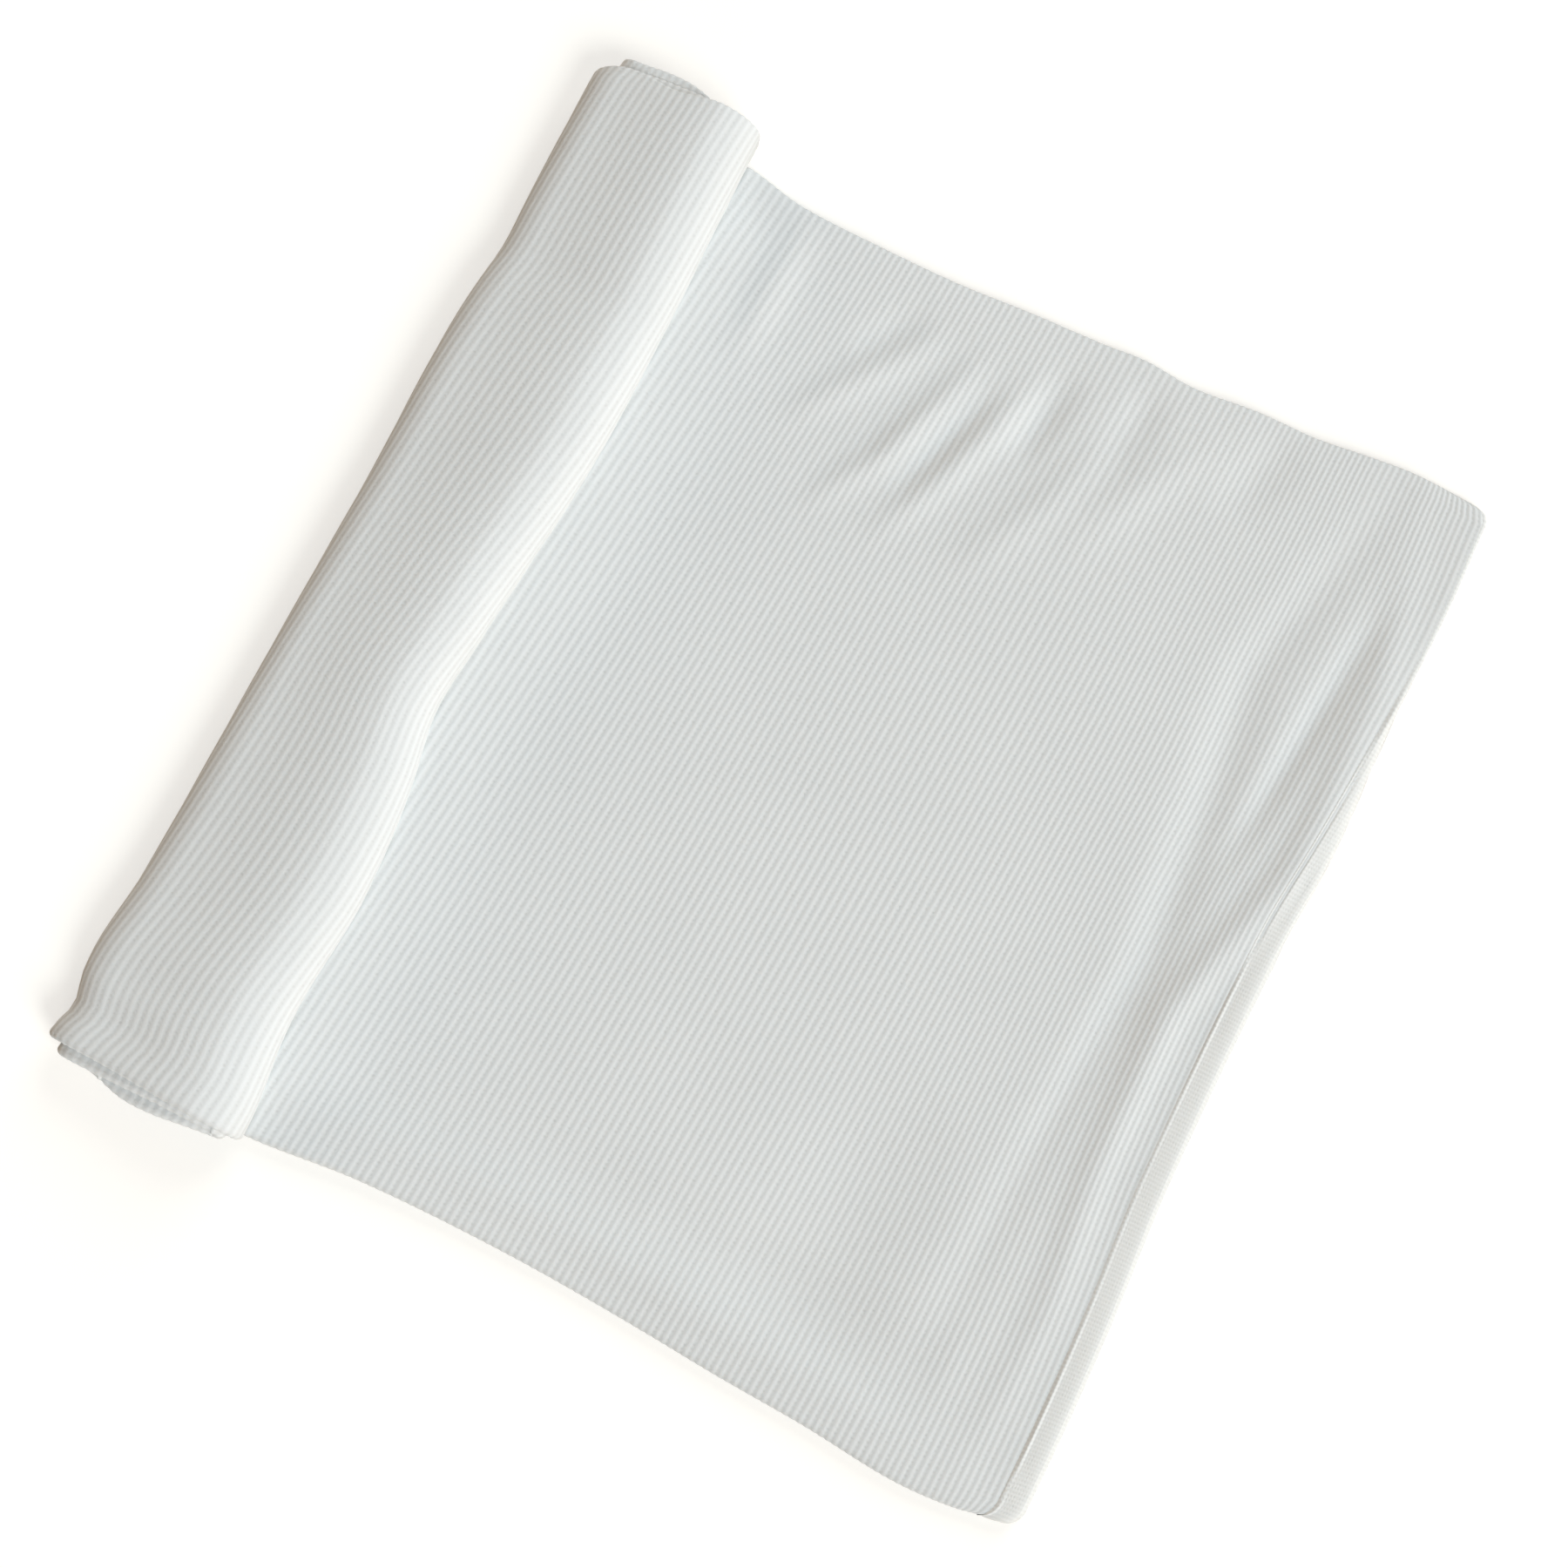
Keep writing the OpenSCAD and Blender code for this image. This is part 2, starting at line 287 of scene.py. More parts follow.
def soft_sample(grid, x, y):
    """The sheet's grid at any place, through a smooth cubic spline."""
    last_i, last_j = len(SHEET_X) - 1, len(SHEET_Y) - 1
    u = np.clip((x - SHEET_X[0]) / CELL, 1, last_i - 1.001)
    v = np.clip((y - SHEET_Y[0]) / CELL, 1, last_j - 1.001)
    i, j = u.astype(int), v.astype(int)

    def weights(t):
        return ((1 - t)**3 / 6, (3 * t**3 - 6 * t**2 + 4) / 6,
                (-3 * t**3 + 3 * t**2 + 3 * t + 1) / 6, t**3 / 6)

    total = 0
    for p, weight_u in enumerate(weights(u - i)):
        row = np.clip(i + p - 1, 0, last_i)
        for q, weight_v in enumerate(weights(v - j)):
            column = np.clip(j + q - 1, 0, last_j)
            total = total + weight_u * weight_v * grid[row, column]
    return total


def flat_creases(x, y):
    """Height of the flat part's creases and slack once the cloth has settled."""
    inside = smooth((x - SHEET_X[0]) / SETTLE_FADE) * smooth((SETTLE_END - x) / SETTLE_FADE)
    inside = inside * smooth((SHEET_Y[-1] - np.abs(y)) / SETTLE_FADE)
    return sculpted_creases(x, y) + soft_sample(SETTLED, x, y) * inside


def turn_reach(s):
    """How far the turns of the roll stand out past the flat part's front and back edges."""
    front = curve(s, (STATION[2], 0), (STATION[3], 2.5), (STATION[4], 3), (STATION[6], 5.5), (STATION[7], 5),
                  (STATION[8], 6.5), (PATH_END - 24, 10), (PATH_END, 4))
    back = curve(s, (STATION[1], 0), (STATION[2], 12), (STATION[3], 14), (STATION[4], 10), (STATION[6], 17.5),
                 (STATION[6] + 40, 17), (STATION[7], 8), (STATION[8], 4))
    return front, back


def lay(s, y, n):
    """The tidy winding: a point s along the cloth, y across it and n in from its outer face."""
    s, y, n = np.broadcast_arrays(s, y, n)
    front, back = turn_reach(s)
    y = y - front * smooth((-y - 120) / 130) + back * smooth((y - 120) / 130)
    # past the middle of the free end the upper layer is pulled over the edge and tucked under
    tuck = TUCK * smooth((y - 40) / 150)
    retreat = 1.15 * TUCK * smooth((y - 24) / 110)
    upper = smooth((n - FOLD_R) / 1.5)
    s = np.where(s < TUCK_RUN, s + (retreat * (1 - upper) - tuck * upper) * (1 - s / TUCK_RUN), s)
    x, z = on_path(s, n)
    bend = np.clip(FOLD_R - s, 0, math.pi * FOLD_R)
    under = np.maximum(FOLD_R - s - math.pi * FOLD_R, 0)
    r = n - FOLD_R
    bent_x = END_X - FOLD_R + r * np.sin(bend / FOLD_R) - under
    bent_z = FOLD_R + r * np.cos(bend / FOLD_R)
    bent = np.where(s < FOLD_R, upper, 0)
    return x + (bent_x - x) * bent, y, z + (bent_z - z) * bent


FOOT_X = -149                   # where the roll's right side meets the flat part
FOOT_LIFT = 3.8                 # how high the flat part laps up against the roll there
FOOT_LEAN = 0.9                 # how much of the curl's undercut the roll's foot fills
FREE_CORNER_FRONT = 10          # radii of the corners
FREE_CORNER_BACK = 7
ROLL_CORNER = 5


def settle(x, y, z):
    """Moves a point of the tidy winding to where the slack cloth really lies."""
    # three soft switches: higher than the strip beside the roll, anywhere on the roll, upper layer
    over = smooth((z - STRIP_T) / 0.35) * (x < -135)
    on_roll = np.maximum(smooth((-146 - x) / 10), over)
    above = smooth((z - 1.2) / (STRIP_T - 1.2))
    # the edges wander in and out
    front = curve(x, (-150, 0), (-90, 5.5), (-15, 7), (60, 4), (90, 2), (135, 0), (190, -3.5), (214, -1.5),
                  (240, 2))
    back = curve(x, (-150, -1), (-118, -6.5), (-75, -7.5), (-30, -6.5), (0, -4), (40, -1.7), (60, 0),
                 (84, -1.6), (120, 1.7), (150, 2.6), (180, 6.3), (197, 8), (217, 7.8), (240, 6.5))
    front_pull = smooth((-y - 60) / 190)
    back_pull = smooth((y - 60) / 190)
    new_y = y + (front * front_pull + back * back_pull) * (1 - on_roll)
    end = curve(y, (-250, 4.5), (-200, 4), (-150, 2), (-90, -2), (-50, -3), (30, -3), (80, -1.3),
                (150, -3.5), (210, -3.5), (250, -5))
    new_x = x + end * smooth((x - 60) / 180)
    # the free end's round corners
    round_r = np.where(y < 0, FREE_CORNER_FRONT, FREE_CORNER_BACK)
    corner = np.clip((np.abs(y) - (FRONT - round_r)) / round_r, 0, 1)
    new_x = new_x - round_r * (1 - np.sqrt(1 - 0.98 * corner**2)) * smooth((x - 200) / 40)
    # the roll tapers to the back and leans over the flat part
    left = curve(y, (-262, -2.5), (-250, -3.2), (-236, 0.6), (-222, -2.6), (-170, 0), (-50, 2.4), (30, 4.3),
                 (150, 7), (162, 8.6), (190, 8.2), (262, 8.0))
    right = curve(y, (-262, 7), (-250, 7), (-200, 2), (-133, 5), (-79, 0), (-47, -6), (0, -3), (98, 5),
                  (168, 5), (261, 2.4))
    across = np.clip((x + 240) / 90, 0, 1)
    fade = 1 - smooth((x + 150) / 60)
    new_x = new_x + (left * (1 - across) + right * across * over) * fade
    roll_corner = np.clip((np.abs(y) - 257) / 9, 0, 1)
    new_x = new_x + ROLL_CORNER * (1 - np.sqrt(1 - 0.98 * roll_corner**2)) * smooth((-205 - x) / 35)
    # the roll's right side leans out at its foot, so it lies on the flat part with no gap under it
    foot = np.clip(OUTER_R + PITCH / 2 - z, 0, CURL_R[1])
    undercut = CURL_R[1] - np.sqrt(np.maximum(CURL_R[1] ** 2 - foot**2, 0))
    in_curl = smooth((x - RIGHT_X) / 2) * smooth((z - STRIP_T) / 1.5) * on_roll
    new_x = new_x + FOOT_LEAN * undercut * in_curl
    top = smooth((z - (ROLL_H - STRIP_T)) / 3)
    new_y = new_y - 4 * top * np.exp(-(((x + 197) / 17) ** 2)) * smooth((y - 236) / 24) * on_roll
    # heights: the flat part's creases, and the roll's crowned and dented top
    past = x - FOOT_X - right
    lap = np.where(past > 0, np.exp(-((past / 28) ** 2)), np.exp(-((past / 8) ** 2)))
    lap = lap * (1 - smooth((np.abs(y) - 214) / 30))
    flat_z = z + (flat_creases(x, y) * (1 - on_roll) + FOOT_LIFT * lap) * above
    crown = -0.34 * smooth((-172 - x) / 68) - 0.22 * smooth((x + 174) / 26)
    dents = (crease(x, y, [(-250, 158), (-140, 166)], 7, -0.05)
             + crease(x, y, [(-250, -214), (-150, -206)], 8, -0.05)
             + crease(x, y, [(-250, -236), (-190, -236)], 6, -0.06)
             + 0.02 * np.sin(y / 47) + 0.015 * np.sin(y / 19 + 2))
    roll_z = z + (z - STRIP_T) * (crown + dents) * on_roll
    new_z = np.where(z > STRIP_T + 0.2, roll_z, flat_z)
    return new_x, new_y, np.maximum(new_z, 0.02)


def settled_points(s, y, n):
    """Where points of the cloth come to rest, one row of X, Y and Z for each."""
    return np.stack(settle(*lay(s, y, n)), axis=-1).reshape(-1, 3)


# ---- Meshes ----

def section(step):
    """The folded strip's outline, from inside the upper hem round to inside the lower one.

    Returns across (Y), depth (n), the outward normal's two parts and the length so far.
    """
    hem = np.linspace(-90, 90, 7)
    fold = np.linspace(90, 270, 9)

    def arc(y, n, radius, angles):
        turns = [(math.cos(math.radians(a)), math.sin(math.radians(a))) for a in angles]
        return [(y + radius * cosine, n + radius * sine, cosine, sine) for cosine, sine in turns]

    hem_y = BACK - HEM_R
    fold_y = -FRONT + FOLD_R
    rows = [(BACK - HEM_FLAP, STRIP_T - HEM_R - HEM_R, 0, -1)]
    rows += arc(hem_y, STRIP_T - HEM_R, HEM_R, hem)
    rows += [(y, STRIP_T, 0, 1) for y in np.arange(hem_y - step, fold_y + step / 2, -step)]
    rows += arc(fold_y, FOLD_R, FOLD_R, fold)
    rows += [(y, 0, 0, -1) for y in np.arange(fold_y + step, hem_y - step / 2, step)]
    rows += arc(hem_y, HEM_R, HEM_R, hem)
    rows += [(BACK - HEM_FLAP, 2 * HEM_R, 0, 1)]
    y, n, ny, nn = np.array(rows, float).T
    length = np.concatenate([[0], np.cumsum(np.hypot(np.diff(y), np.diff(n)))])
    return y, n, ny, nn, length


def make_mesh(name, points, faces, attribute=None):
    """A smooth-shaded object from points in millimetres, faces and a knit coordinate per point."""
    mesh = bpy.data.meshes.new(name)
    mesh.vertices.add(len(points))
    mesh.vertices.foreach_set("co", (np.asarray(points) * MM).astype(np.float32).ravel())
    faces = np.asarray(faces, np.int32)
    count = faces.shape[1]
    mesh.loops.add(faces.size)
    mesh.loops.foreach_set("vertex_index", faces.ravel())
    mesh.polygons.add(len(faces))
    mesh.polygons.foreach_set("loop_start", np.arange(0, faces.size, count, dtype=np.int32))
    mesh.polygons.foreach_set("use_smooth", np.ones(len(faces), bool))
    mesh.update(calc_edges=True)
    if attribute is not None:
        layer = mesh.attributes.new("knit", "FLOAT_VECTOR", "POINT")
        layer.data.foreach_set("vector", np.asarray(attribute, np.float32).ravel())
    obj = bpy.data.objects.new(name, mesh)
    bpy.context.scene.collection.objects.link(obj)
    return obj


def square_plate(name, half, z):
    """A flat square, half its width each way, at height z."""
    points = [(-half, -half, z), (half, -half, z), (half, half, z), (-half, half, z)]
    return make_mesh(name, points, [(0, 1, 2, 3)])


def grid_faces(rows, columns, closed_columns=False):
    """Quads of a grid whose points are stored row by row."""
    index = np.arange(rows * columns).reshape(rows, columns)
    if closed_columns:
        index = np.hstack([index, index[:, :1]])
    a, b = index[:-1, :-1], index[1:, :-1]
    c, d = index[1:, 1:], index[:-1, 1:]
    return np.stack([a, b, c, d], axis=-1).reshape(-1, 4)


def rib_columns(s_from, s_to):
    """Distances along the cloth of the mesh's columns, and their rib count."""
    ribs = int((s_to + RIB_SPARE) / RIB_PITCH_END)
    pitch = np.minimum(RIB_PITCH_END + RIB_PITCH_STEP * np.arange(ribs), RIB_PITCH_ROLL)
    start = np.concatenate([[0], np.cumsum(pitch)])
    count = np.arange(0, ribs, 1 / RIB_COLUMNS)
    s = np.interp(count, np.arange(ribs + 1), start) - RIB_BEFORE
    keep = (s > s_from - RIB_MARGIN) & (s < s_to + RIB_MARGIN)
    return s[keep], count[keep]


def lean(u, y, top):
    """How far a rib has moved along the cloth at y, from where it crosses the front fold."""
    reach = y + FRONT
    flat = curve(u, (0, -0.6), (60, 1.2), (150, 3), (240, 3.2), (330, 4.6), (385, 5.6), (450, 5.6))
    roll = 5.8 * smooth((u - 230) / 200)
    return np.where(top, -np.tan(np.radians(flat)), np.tan(np.radians(roll))) * reach


def painted_roll_shade(s):
    """Change of the ribs' painted shade over the roll: deeper on its left side, which is turned from the
    light, and fainter past its lit crest.
    """
    up_the_side = smooth((s - STATION[1]) / 40)
    past_the_crest = smooth((s - STATION[2] - 34) / 20)
    return up_the_side - 1.8 * past_the_crest


def knit_coordinate(shape, rib, course, change=0.0):
    """The "knit" value of every point of a grid: rib count, course count and change of painted shade."""
    return np.stack([np.broadcast_to(part, shape) for part in (rib, course, change)], axis=-1).reshape(-1, 3)


def rib_sheet(name, s_from, s_to, step=6):
    """The folded, ribbed cloth between two distances along the path."""
    y, n, ny, nn, length = section(step)
    u, count = rib_columns(s_from, s_to)
    top = n > FOLD_R
    shift = lean(u[None, :], y[:, None], top[:, None])
    s = np.clip(u[None, :] + shift, s_from, s_to)
    relief = -RIB_HEIGHT * (0.5 + 0.5 * np.cos(2 * math.pi * count)) ** RIB_SHARPNESS
    relief = np.broadcast_to(relief[None, :], s.shape)
    yy = y[:, None] + ny[:, None] * relief
    inward = n[:, None] + nn[:, None] * relief
    points = settled_points(s, yy, inward)
    knit = knit_coordinate(s.shape, count, length[:, None] / COURSE_PITCH, painted_roll_shade(s))
    # faces pressed flat where the lean runs past the sheet's ends are left out
    faces = grid_faces(*s.shape)
    flat_s = s.reshape(-1)
    spread = flat_s[faces].max(axis=1) - flat_s[faces].min(axis=1)
    faces = faces[spread > 1e-4]
    used, faces = np.unique(faces, return_inverse=True)
    return make_mesh(name, points[used], faces.reshape(-1, 4), knit[used])


def band(name, profile, v_step, wave, origin=0.0, direction=1.0):
    """A binding strip along the folded edge, swept with a closed profile of (s, height) points.

    The strip's own ribs run across it, RIB_ACROSS apart, and its seam line carries the stitches.
    """
    y, n, ny, nn, length = section(2.0)
    v = np.arange(length[0], length[-1], v_step)
    y, n, ny, nn = (np.interp(v, length, a) for a in (y, n, ny, nn))
    size = np.maximum(np.hypot(ny, nn), 1e-6)
    ny, nn = (ny / size)[:, None], (nn / size)[:, None]
    along, height = np.array(profile, float).T[:, None, :]
    ribs = wave * (0.5 + 0.5 * np.cos(2 * math.pi * v / RIB_ACROSS))[:, None]
    stitches = STITCH_DEPTH * (0.5 + 0.5 * np.cos(2 * math.pi * v / STITCH_PITCH))[:, None]
    on_band = (height > 0) & (along < SEAM_S - SEAM_W)
    on_seam = (height > 0.4) & (along > SEAM_S - SEAM_W)
    lift = height - ribs * on_band - stitches * on_seam
    s = origin + direction * np.broadcast_to(along, lift.shape)
    points = settled_points(s, y[:, None] + ny * lift, n[:, None] + nn * lift)
    knit = knit_coordinate(s.shape, v[:, None] / RIB_ACROSS, along / BAND_COURSE)
    faces = grid_faces(len(v), len(profile), closed_columns=True)
    return make_mesh(name, points, faces if direction < 0 else faces[:, ::-1], knit)


def rod(name, rows, s_from, s_to, step, ripple=0.0):
    """Closed strips along the winding path, one for each row (y, n, half width, half height) given."""
    stations = np.arange(s_from, s_to + step / 2, step)
    turn = np.linspace(0, 2 * math.pi, 12, endpoint=False)
    shape_y = np.sign(np.cos(turn)) * np.abs(np.cos(turn)) ** ROD_SQUARENESS
    shape_n = np.sign(np.sin(turn)) * np.abs(np.sin(turn)) ** ROD_SQUARENESS
    all_points, all_faces, all_knit = [], [], []
    for y, n, half_y, half_n in rows:
        swell = 1 + ripple * np.cos(2 * math.pi * stations / STITCH_PITCH)[:, None]
        swell[0] = swell[-1] = 0.02
        yy = y + half_y * shape_y[None, :] * swell
        nn = n + half_n * shape_n[None, :] * swell
        s = np.broadcast_to(stations[:, None], yy.shape)
        start = sum(len(p) for p in all_points)
        all_points.append(settled_points(s, yy, nn))
        all_faces.append(grid_faces(len(stations), len(turn), closed_columns=True) + start)
        all_knit.append(knit_coordinate(s.shape, s / RIB_ACROSS, yy / BAND_COURSE))
    return make_mesh(name, np.vstack(all_points), np.vstack(all_faces), np.vstack(all_knit))


# ---- Materials ----

def node_of(tree, kind, **values):
    """Adds a shader node and sets its plain properties."""
    node = tree.nodes.new(kind)
    for key, value in values.items():
        setattr(node, key, value)
    return node


def maths(tree, operation, a, b=None):
    """A maths node fed by links or numbers."""
    node = node_of(tree, "ShaderNodeMath", operation=operation)
    for socket, value in zip(node.inputs, (a, b)):
        if value is None:
            continue
        if isinstance(value, (int, float)):
            socket.default_value = value
        else:
            tree.links.new(value, socket)
    return node.outputs[0]


# Strengths in the knit's shader
HOLE_SHADE = 0.09               # painted shade: how much the colour darkens in the small holes between the ribs
HOLE_GAIN = 5.0                 # the holes' unevenness: slow noise times the gain,
HOLE_CUT = 1.7                  # less this much, so that some holes hardly show
ROLL_SHADE = 0.06               # how much of the knit's change of painted shade reaches the valleys
BASE_TONE = 0.94
TONE_CHANGE = 0.07
FUZZ_CHANGE = 0.05
STITCH_BOW = 0.3                # the stitches bow this much of a course over a rib
STITCH_BUMP = 0.2
FUZZ_BUMP = 0.35
HOLE_BUMP = 0.22
BUMP_DISTANCE = 0.35
BASE_ROUGHNESS = 0.82
FUZZ_ROUGHNESS = 0.12


def knit_material(name, light, painted_shade_colour, rib_shade, bump, sheen=0.25):
    """A rib knit: ribs, the small ladder of holes between them, painted shade in the valleys and holes, fibre
    fuzz and slow tone changes.
    """
    material = bpy.data.materials.new(name)
    material.use_nodes = True
    tree = material.node_tree
    shader = tree.nodes["Principled BSDF"]
    place = node_of(tree, "ShaderNodeTexCoord").outputs["Object"]

    def plus(a, b):
        return maths(tree, "ADD", a, b)

    def times(a, b):
        return maths(tree, "MULTIPLY", a, b)

    def half_wave(value, shift=0.0):
        turn = times(plus(value, shift), 2 * math.pi)
        return plus(times(maths(tree, "COSINE", turn), 0.5), 0.5)

    def noise(scale, detail):
        node = node_of(tree, "ShaderNodeTexNoise")
        node.inputs["Scale"].default_value = scale
        node.inputs["Detail"].default_value = detail
        tree.links.new(place, node.inputs["Vector"])
        return node.outputs["Fac"]

    knit = node_of(tree, "ShaderNodeAttribute", attribute_name="knit")
    parts = node_of(tree, "ShaderNodeSeparateXYZ")
    tree.links.new(knit.outputs["Vector"], parts.inputs[0])
    rib, course, change = parts.outputs
    valley = half_wave(rib)
    bow = times(maths(tree, "ABSOLUTE", maths(tree, "SINE", times(rib, math.pi))), STITCH_BOW)
    stitch = half_wave(plus(course, bow), 0.5)
    holes = times(maths(tree, "POWER", valley, 2.0), maths(tree, "POWER", half_wave(course), 1.5))
    uneven = maths(tree, "SUBTRACT", times(noise(420, 1), HOLE_GAIN), HOLE_CUT)
    holes = times(holes, maths(tree, "MAXIMUM", uneven, 0.0))
    tone = noise(14, 3)
    fuzz = noise(1600, 2)

    # colour: painted shade darkens the valleys and holes, and tone and fuzz vary all of it
    # painted shade in the valleys: deeper on the roll's shaded left side, fainter past its lit crest
    valley_shade = plus(times(change, ROLL_SHADE), rib_shade)
    shade = plus(times(holes, HOLE_SHADE), times(valley, valley_shade))
    mix = node_of(tree, "ShaderNodeMix", data_type="RGBA")
    tree.links.new(maths(tree, "MINIMUM", shade, 1.0), mix.inputs["Factor"])
    mix.inputs["A"].default_value = (*light, 1)
    mix.inputs["B"].default_value = (*painted_shade_colour, 1)
    bright = plus(plus(times(tone, TONE_CHANGE), times(fuzz, FUZZ_CHANGE)), BASE_TONE)
    tint = node_of(tree, "ShaderNodeMix", data_type="RGBA", blend_type="MULTIPLY")
    tint.inputs["Factor"].default_value = 1
    tree.links.new(mix.outputs["Result"], tint.inputs["A"])
    tree.links.new(bright, tint.inputs["B"])
    tree.links.new(tint.outputs["Result"], shader.inputs["Base Color"])

    # fine relief and the surface
    height = plus(times(stitch, STITCH_BUMP), times(fuzz, FUZZ_BUMP))
    height = maths(tree, "SUBTRACT", height, times(holes, HOLE_BUMP))
    relief = node_of(tree, "ShaderNodeBump")
    relief.inputs["Strength"].default_value = bump
    relief.inputs["Distance"].default_value = BUMP_DISTANCE * MM
    tree.links.new(height, relief.inputs["Height"])
    tree.links.new(relief.outputs["Normal"], shader.inputs["Normal"])
    rough = plus(times(fuzz, FUZZ_ROUGHNESS), BASE_ROUGHNESS)
    tree.links.new(rough, shader.inputs["Roughness"])
    shader.inputs["Specular IOR Level"].default_value = 0.18
    shader.inputs["Sheen Weight"].default_value = sheen
    shader.inputs["Sheen Roughness"].default_value = 0.45
    return material


# each knit material's darker colour and the number after it are painted shade for the valleys and holes
# between the ribs
CLOTH_LIGHT = (0.70, 0.733, 0.744)
CLOTH_PAINTED_SHADE = (0.40, 0.415, 0.405)
rib_knit = knit_material("rib_knit", CLOTH_LIGHT, CLOTH_PAINTED_SHADE, 0.29, 0.4)
binding_knit = knit_material("binding_knit", (0.74, 0.762, 0.757), (0.52, 0.535, 0.53), 0.22, 0.5)
seam_thread = knit_material("seam_thread", (0.80, 0.81, 0.80), (0.62, 0.63, 0.62), 0.3, 0.4, 0.1)
label_satin = knit_material("label_satin", (0.82, 0.82, 0.80), (0.74, 0.74, 0.72), 0.1, 0.15, 0.05)


def finish_piece(piece, material, slot_name, *nodes):
    """Gives a piece its material and hides the CAD nodes it stands for; slot_name is not used."""
    piece.data.materials.append(material)
    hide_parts(*nodes)


# ---- Pieces ----


def on_lower_bend(piece):
    """Bakes the transform of a piece of the flat part that runs on into the lower half of the crease."""
    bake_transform(piece)


def on_upper_bend(piece):
    """Bakes the transform of a piece of the upper half of the crease that runs on into the roll."""
    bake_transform(piece)


def cloth_pieces():
    """The one ribbed cloth, parted where it bends and where it enters the next turn."""
    flat = rib_sheet("wrap_flat", SEAM_S - 1, CREASE_S)
    finish_piece(flat, rib_knit, "rib_knit", "flat_cloth")
    on_lower_bend(flat)
    outer = rib_sheet("wrap_outer_turn", CREASE_S, STATION[4])
    finish_piece(outer, rib_knit, "rib_knit", "outer_turn", "crease_cloth")
    on_upper_bend(outer)
    middle = rib_sheet("wrap_middle_turn", STATION[4], STATION[7], 24)
    finish_piece(middle, rib_knit, "rib_knit", "middle_turn")
    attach(middle, "roll")
    core = rib_sheet("wrap_core_turn", STATION[7], PATH_END - SEAM_S + 1, 24)
    finish_piece(core, rib_knit, "rib_knit", "core_turn")
    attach(core, "roll")


# One layer's binding in cross-section: seam line, flat band and the nose folded round the edge
BAND_PROFILE = [(14.0, -0.5), (13.3, -0.05), (12.7, 0.1), (12.4, 0.5), (12.0, 0.68), (11.6, 0.5),
                (11.2, 0.12), (10.3, 0.2), (8.0, 0.5), (5.0, 0.55), (2.8, 0.4), (1.3, 0.1), (0.3, -0.5),
                (0.0, -1.2), (0.4, -1.9), (2.0, -2.2), (8.0, -2.2), (14.0, -1.9)]


def binding_pieces():
    """The bindings of both cloth ends and of the two long edges inside the strip."""
    free_end = band("free_end_binding_strip", BAND_PROFILE, 0.5, 0.14)
    finish_piece(free_end, binding_knit, "binding_knit", "free_end_binding", "free_end_stitching")
    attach(free_end, "flat")
    core_end = band("core_end_binding_strip", BAND_PROFILE, 1.0, 0.14, PATH_END, -1.0)
    finish_piece(core_end, binding_knit, "binding_knit", "core_end_binding", "core_end_stitching")
    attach(core_end, "roll")

    upper_low, upper_high = corners("flat_side_binding_upper")
    lower_high = corners("flat_side_binding_lower")[1]
    half_w = (upper_high[1] - upper_low[1]) / 2
    upper_row = (upper_high[1] - half_w, FOLD_R + 0.6, half_w, 0.6)
    lower_row = (lower_high[1] - half_w, FOLD_R, half_w, 1.2)
    flat_from = SEAM_S + BINDING_GAP
    inner_to = PATH_END - SEAM_S - BINDING_GAP
    flat_upper = rod("side_binding_upper", [upper_row], flat_from, CREASE_S, 2.0)
    finish_piece(flat_upper, binding_knit, "binding_knit", "flat_side_binding_upper")
    on_lower_bend(flat_upper)
    flat_lower = rod("side_binding_lower", [lower_row], flat_from, CREASE_S, 2.0)
    finish_piece(flat_lower, binding_knit, "binding_knit", "flat_side_binding_lower")
    on_lower_bend(flat_lower)
    outer = rod("side_bindings_outer_turn", [upper_row, lower_row], CREASE_S, STATION[4], 2.0)
    finish_piece(outer, binding_knit, "binding_knit", "rolled_side_bindings", "crease_side_bindings")
    on_upper_bend(outer)
    inner = rod("side_bindings_inner_turns", [upper_row, lower_row], STATION[4], inner_to, 2.0)
    finish_piece(inner, binding_knit, "binding_knit", "rolled_side_bindings")
    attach(inner, "roll")

    threads = [(y + half_w - inset, n + half_n, THREAD_HALF_W, THREAD_HALF_H)
               for y, n, _, half_n in (upper_row, lower_row) for inset in THREAD_ROWS]
    step = STITCH_PITCH / 3
    flat_thread = rod("side_stitching_flat", threads, flat_from, CREASE_S, step, THREAD_RIPPLE)
    finish_piece(flat_thread, seam_thread, "seam_thread", "flat_side_stitching", "crease_side_stitching")
    on_lower_bend(flat_thread)
    outer_thread = rod("side_stitching_outer_turn", threads, CREASE_S, STATION[4], step, THREAD_RIPPLE)
    finish_piece(outer_thread, seam_thread, "seam_thread", "rolled_side_stitching")
    on_upper_bend(outer_thread)
    inner_thread = rod("side_stitching_inner_turns", threads, STATION[4], inner_to, step, THREAD_RIPPLE)
    finish_piece(inner_thread, seam_thread, "seam_thread", "rolled_side_stitching")
    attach(inner_thread, "roll")


def label_piece():
    """The blank care label between the layers, sewn into the free end's lower seam."""
    middle = (LABEL_LOW + LABEL_HIGH) / 2
    half = (LABEL_HIGH - LABEL_LOW) / 2
    rows = [(middle[1], middle[2] + 0.2, half[1], half[2])]
    label = rod("care_label_blank", rows, END_X - LABEL_HIGH[0], END_X - LABEL_LOW[0], 1.5)
    finish_piece(label, label_satin, "label_satin", "care_label")
    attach(label, "flat")


SETTLED = settled_sheet()
cloth_pieces()
binding_pieces()
label_piece()


# ---- Stage: floor, light and camera ----

FLOOR_HALF = 30000
FLOOR_GLOW = 0.56               # lifts the floor to white for the camera alone, not for the cloth
FRAME_WIDTH = 0.72              # how much the picture takes in at the cloth, in metres


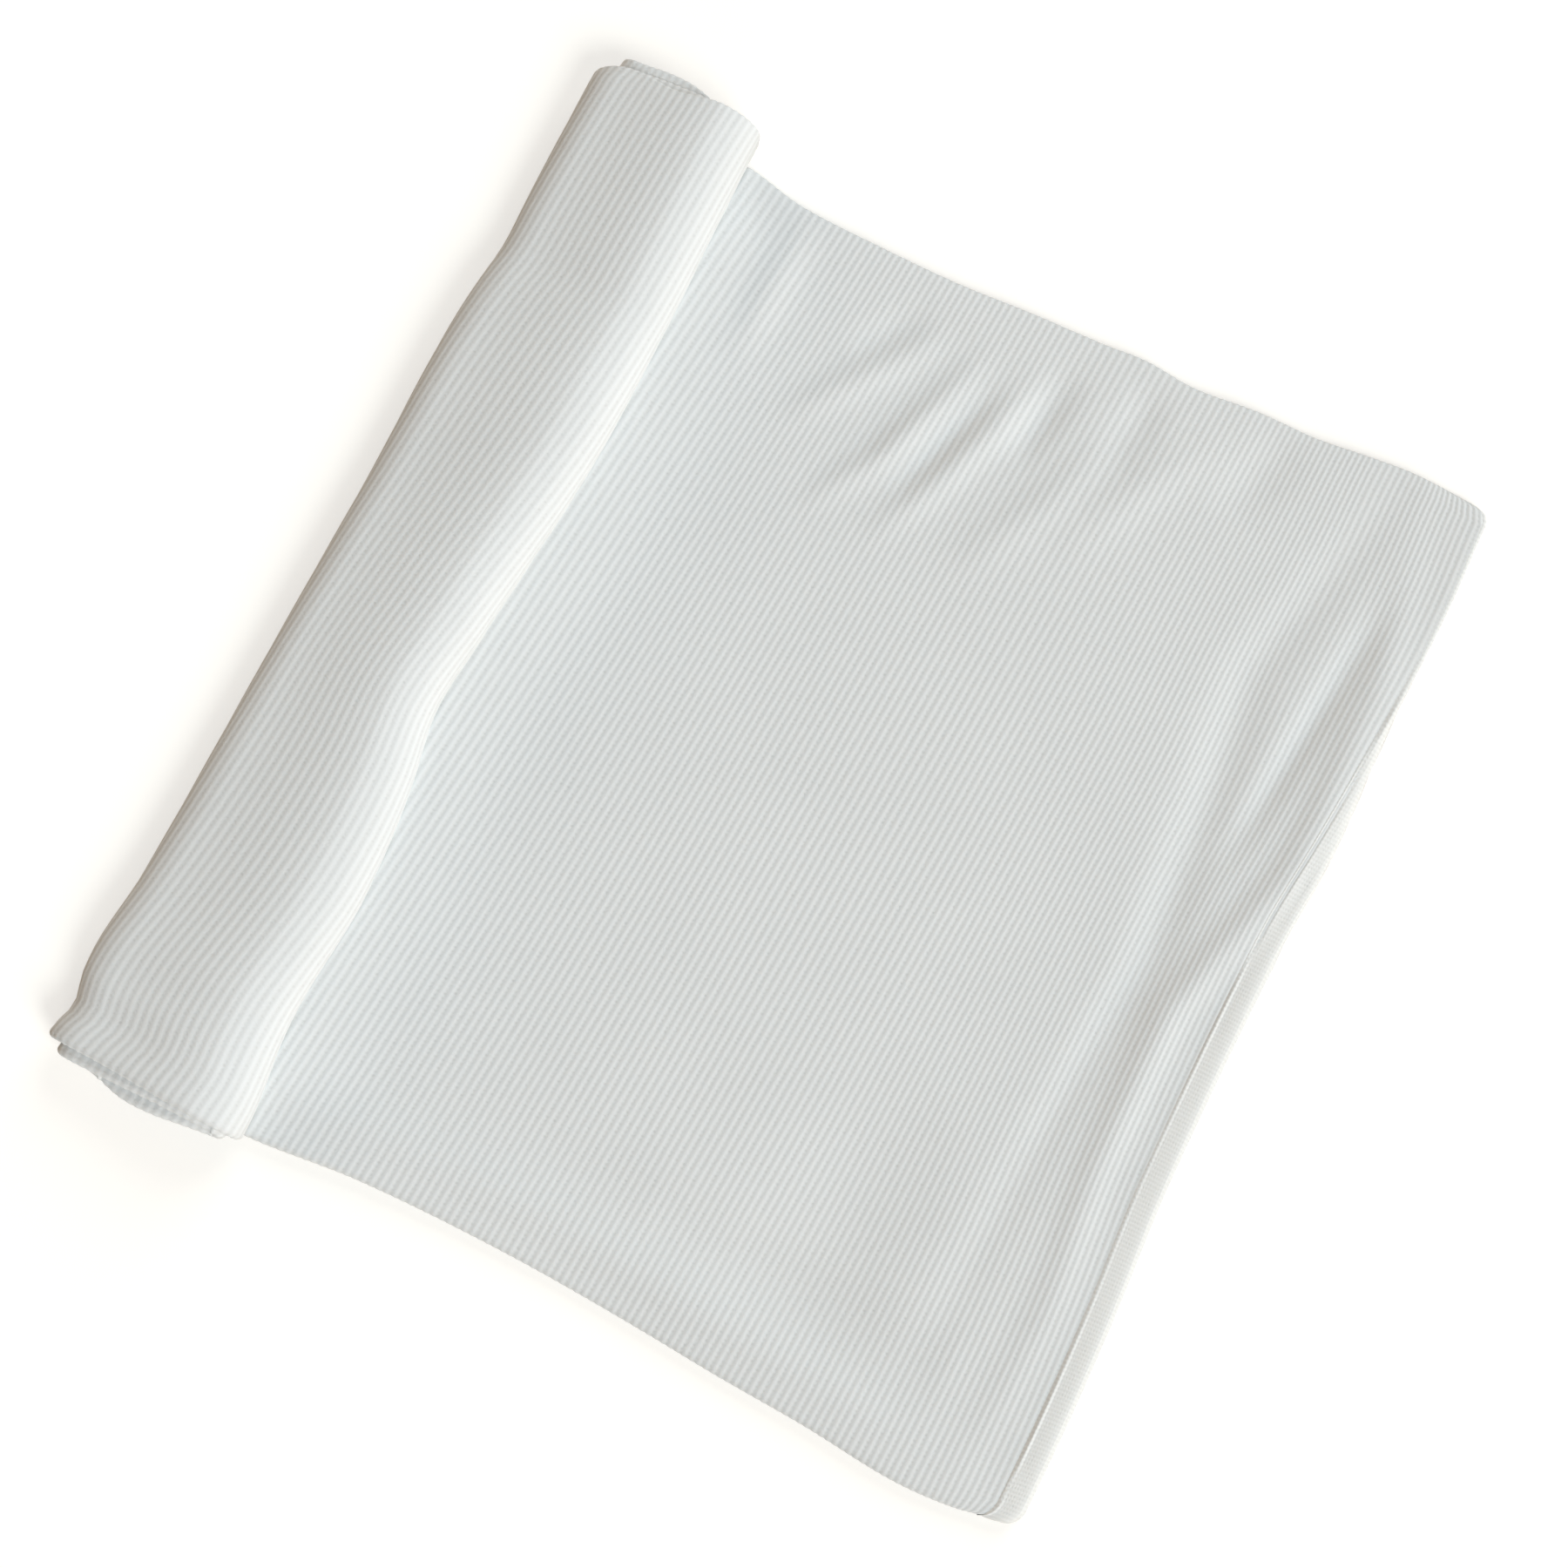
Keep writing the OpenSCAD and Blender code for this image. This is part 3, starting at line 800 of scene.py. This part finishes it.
def floor():
    """A wide pale floor."""
    obj = square_plate("floor", FLOOR_HALF, 0)
    material = bpy.data.materials.new("floor")
    material.use_nodes = True
    tree = material.node_tree
    shader = tree.nodes["Principled BSDF"]
    shader.inputs["Base Color"].default_value = (0.52, 0.51, 0.47, 1)
    shader.inputs["Roughness"].default_value = 0.9
    shader.inputs["Specular IOR Level"].default_value = 0.1
    shader.inputs["Emission Color"].default_value = (1, 1, 1, 1)
    seen = node_of(tree, "ShaderNodeLightPath").outputs["Is Camera Ray"]
    tree.links.new(maths(tree, "MULTIPLY", seen, FLOOR_GLOW), shader.inputs["Emission Strength"])
    obj.data.materials.append(material)
    obj.location.z = -0.0002


def soft_light(name, azimuth, elevation, spread, strength, colour):
    """A distant light with a soft edge; azimuth turns from +X towards +Y, and spread is its angle."""
    light = bpy.data.lights.new(name, "SUN")
    light.angle = math.radians(spread)
    light.energy = strength
    light.color = colour
    obj = bpy.data.objects.new(name, light)
    obj.rotation_euler = (math.radians(90 - elevation), 0, math.radians(azimuth + 90))
    bpy.context.scene.collection.objects.link(obj)


def camera():
    """A long lens almost straight above, turned to the bundle's angle."""
    azimuth, elevation, distance = math.radians(27), math.radians(82), 1.5
    data = bpy.data.cameras.new("camera")
    data.sensor_width = 36
    data.lens = data.sensor_width * distance / FRAME_WIDTH
    obj = bpy.data.objects.new("camera", data)
    level = distance * math.cos(elevation)
    obj.location = (level * math.sin(azimuth), -level * math.cos(azimuth), distance * math.sin(elevation))
    obj.rotation_euler = (math.radians(90) - elevation, 0, azimuth)
    data.clip_end = 100
    bpy.context.scene.collection.objects.link(obj)
    bpy.context.scene.camera = obj


floor()
soft_light("key", -27, 38, 28, 2.26, (0.935, 0.98, 1.0))
soft_light("low", -14, 9, 16, 0.72, (1.0, 0.68, 0.46))
soft_light("front", -72, 14, 28, 0.56, (1.0, 0.88, 0.82))
soft_light("back", 84, 26, 40, 1.86, (0.97, 0.99, 1.0))
soft_light("warm", 168, 14, 24, 0.50, (1.0, 0.50, 0.12))
camera()

world = bpy.data.worlds.new("world")
world.use_nodes = True
world.node_tree.nodes["Background"].inputs["Color"].default_value = (1.0, 0.95, 0.87, 1)
world.node_tree.nodes["Background"].inputs["Strength"].default_value = 0.23
bpy.context.scene.world = world
bpy.context.scene.view_settings.view_transform = "Standard"
